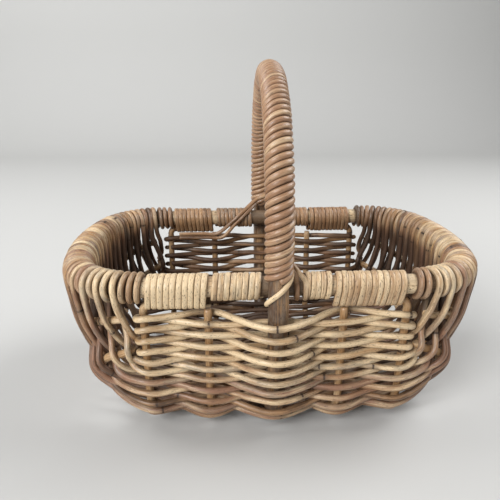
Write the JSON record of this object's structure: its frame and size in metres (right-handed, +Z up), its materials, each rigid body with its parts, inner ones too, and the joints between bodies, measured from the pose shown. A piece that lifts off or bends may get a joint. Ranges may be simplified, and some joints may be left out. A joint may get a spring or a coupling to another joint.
{
  "type": "trug garden basket",
  "caption": "Oval woven cane trug with a thick round rim, a tall hoop handle over the middle and looped canes at both ends.",
  "frame": {"origin": "on the ground under the middle of the basket", "axes": "+X along the basket to its right end, +Y from the front wall to the back wall, +Z up"},
  "size_m": [0.4032, 0.2821, 0.3329],
  "materials": {
    "rim_cane": "peeled thick cane, satin, with dark specks",
    "hoop_cane": "peeled thick cane, satin",
    "rib_cane": "peeled cane, honey coloured, satin",
    "rim_winding": "split cane skin, cream with fine dark specks, semi-gloss",
    "handle_winding": "split cane skin, pinkish tan, glossy",
    "lashing_cane": "split cane, tan, semi-gloss",
    "weaver_cane": "whole thin cane, tan to pinkish brown, mottled, satin"
  },
  "bodies": {
    "root": {"back_lashing_1": "lashing_cane", "back_lashing_2": "lashing_cane", "back_left_corner_wrap": "rim_winding", "back_left_long_wrap": "rim_winding", "back_left_short_wrap": "rim_winding", "back_right_corner_wrap": "rim_winding", "back_right_long_wrap": "rim_winding", "back_right_short_wrap": "rim_winding", "front_lashing": "lashing_cane", "front_left_corner_wrap": "rim_winding", "front_left_long_wrap": "rim_winding", "front_left_short_wrap": "rim_winding", "front_right_corner_wrap": "rim_winding", "front_right_long_wrap": "rim_winding", "front_right_short_wrap": "rim_winding", "handle_hoop": "hoop_cane", "handle_wrap_1": "handle_winding", "handle_wrap_2": "handle_winding", "handle_wrap_3": "handle_winding", "handle_wrap_4": "handle_winding", "left_corner_rib": "rib_cane", "left_cross_rib": "rib_cane", "left_high_end_rib": "rib_cane", "left_low_end_rib": "rib_cane", "long_canes_1": "weaver_cane", "long_canes_10": "weaver_cane", "long_canes_2": "weaver_cane", "long_canes_3": "weaver_cane", "long_canes_4": "weaver_cane", "long_canes_5": "weaver_cane", "long_canes_6": "weaver_cane", "long_canes_7": "weaver_cane", "long_canes_8": "weaver_cane", "long_canes_9": "weaver_cane", "right_corner_rib": "rib_cane", "right_cross_rib": "rib_cane", "right_high_end_rib": "rib_cane", "right_lashing_1": "lashing_cane", "right_lashing_2": "lashing_cane", "right_low_end_rib": "rib_cane", "rim_hoop": "rim_cane", "short_cane_1": "weaver_cane", "short_cane_10": "weaver_cane", "short_cane_11": "weaver_cane", "short_cane_12": "weaver_cane", "short_cane_13": "weaver_cane", "short_cane_14": "weaver_cane", "short_cane_15": "weaver_cane", "short_cane_16": "weaver_cane", "short_cane_17": "weaver_cane", "short_cane_2": "weaver_cane", "short_cane_3": "weaver_cane", "short_cane_4": "weaver_cane", "short_cane_5": "weaver_cane", "short_cane_6": "weaver_cane", "short_cane_7": "weaver_cane", "short_cane_8": "weaver_cane", "short_cane_9": "weaver_cane"}
  },
  "joints": []
}
